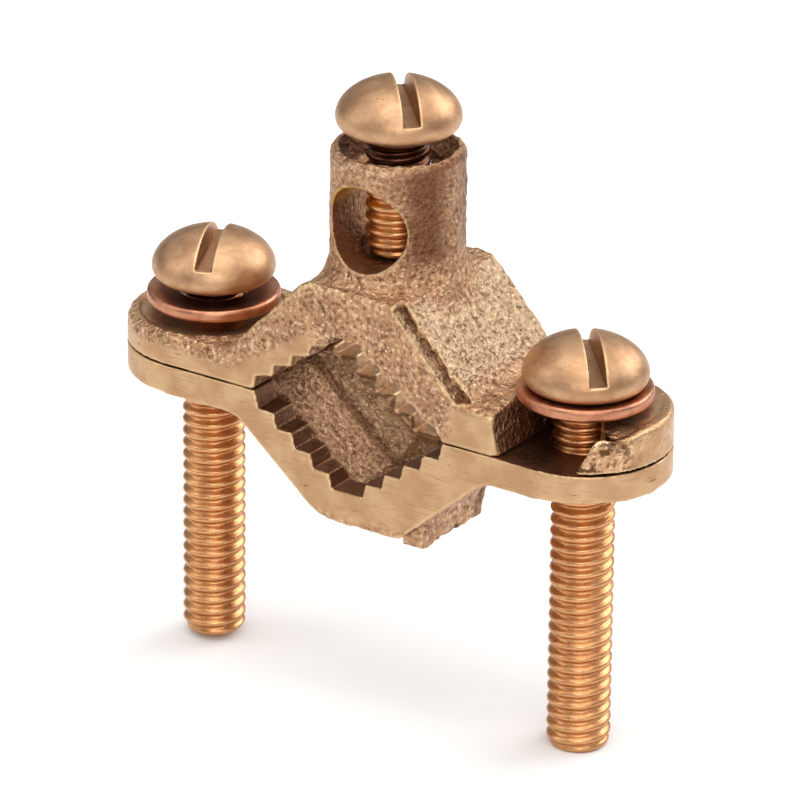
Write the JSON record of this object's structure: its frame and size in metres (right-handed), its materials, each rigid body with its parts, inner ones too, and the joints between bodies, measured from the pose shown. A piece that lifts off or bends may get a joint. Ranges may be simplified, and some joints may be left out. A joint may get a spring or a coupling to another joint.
{
  "type": "ground clamp",
  "caption": "Bronze ground clamp: toothed V jaws that close round a pipe on slotted screws, with a hooked ear and a boss and set screw for the conductor.",
  "frame": {"origin": "middle of the pipe opening, on the line where the two jaws meet, midway between the two long screws", "axes": "+X from the closed ear to the hooked ear, +Y along the pipe, +Z from the lower jaw up to the conductor boss"},
  "size_m": [0.0602, 0.017, 0.0643],
  "materials": {
    "cast_bronze": "rough sand casting with machined end faces",
    "screw_bronze": "satin",
    "washer_bronze": "satin"
  },
  "bodies": {
    "upper_jaw": {"upper_jaw": "cast_bronze"},
    "left_washer": {"left_washer": "washer_bronze"},
    "left_screw": {"left_screw": "screw_bronze"},
    "lower_jaw": {"lower_jaw": "cast_bronze"},
    "right_washer": {"right_washer": "washer_bronze"},
    "right_screw": {"right_screw": "screw_bronze"},
    "wire_screw": {"wire_screw": "screw_bronze"}
  },
  "joints": [
    {"name": "jaw_swing", "type": "hinge", "parent": "upper_jaw", "child": "left_washer", "pos_m": [-0.0216, 0, 0], "axis": [0, 0, 1], "range_deg": [-120, 0]},
    {"name": "jaw_opening", "type": "slide", "parent": "left_washer", "child": "lower_jaw", "axis": [0, 0, -1], "range_m": [0, 0.027]},
    {"name": "left_screw_turn", "type": "hinge", "parent": "left_washer", "child": "left_screw", "pos_m": [-0.0216, 0, 0], "axis": [0, 0, 1], "range_deg": [0, 7654]},
    {"name": "right_washer_rise", "type": "slide", "parent": "lower_jaw", "child": "right_washer", "axis": [0, 0, 1], "range_m": [0, 0.027]},
    {"name": "right_screw_turn", "type": "hinge", "parent": "right_washer", "child": "right_screw", "pos_m": [0.0216, 0, 0], "axis": [0, 0, 1], "range_deg": [0, 7654]},
    {"name": "wire_screw_travel", "type": "slide", "parent": "upper_jaw", "child": "wire_screw", "axis": [0, 0, 1], "range_m": [0, 0.0084]}
  ],
  "couplings": [
    {"joint": "left_screw_turn", "follows": "jaw_opening", "rad_per_m": 4947.4},
    {"joint": "right_washer_rise", "follows": "jaw_opening", "ratio": 1},
    {"joint": "right_screw_turn", "follows": "jaw_opening", "rad_per_m": 4947.4}
  ]
}
